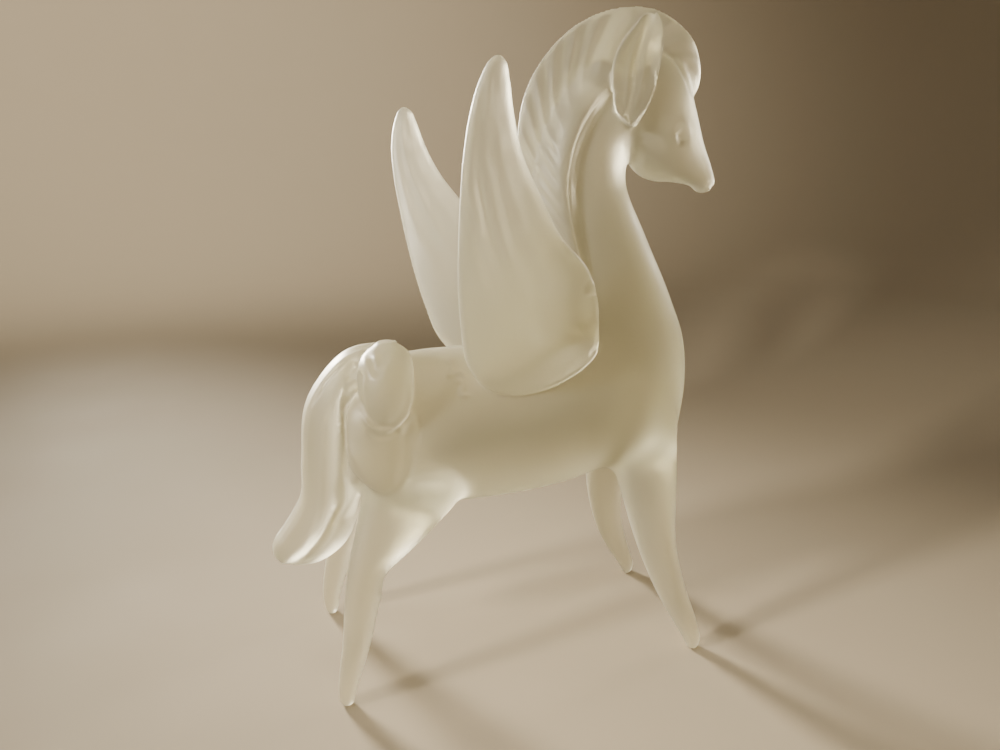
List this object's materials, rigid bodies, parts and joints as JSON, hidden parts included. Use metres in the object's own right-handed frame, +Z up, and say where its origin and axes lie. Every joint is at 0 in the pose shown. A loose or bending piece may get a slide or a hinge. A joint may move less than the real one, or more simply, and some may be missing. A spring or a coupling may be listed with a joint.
{
  "type": "glass pegasus figurine",
  "caption": "Standing winged-horse figurine of solid frosted glass, with raised wings, an arched fluted mane and a long drawn tail, that stands on its feet as an ornament.",
  "frame": {"origin": "middle of the figurine's own box, on the surface that its feet stand on", "axes": "+X towards the horse's nose, +Y towards its left side, +Z up"},
  "size_m": [0.1418, 0.0766, 0.2],
  "materials": {
    "frosted_glass": "frosted, satin, faintly olive where the glass is thick"
  },
  "bodies": {
    "root": {"pegasus": "frosted_glass"}
  },
  "joints": []
}
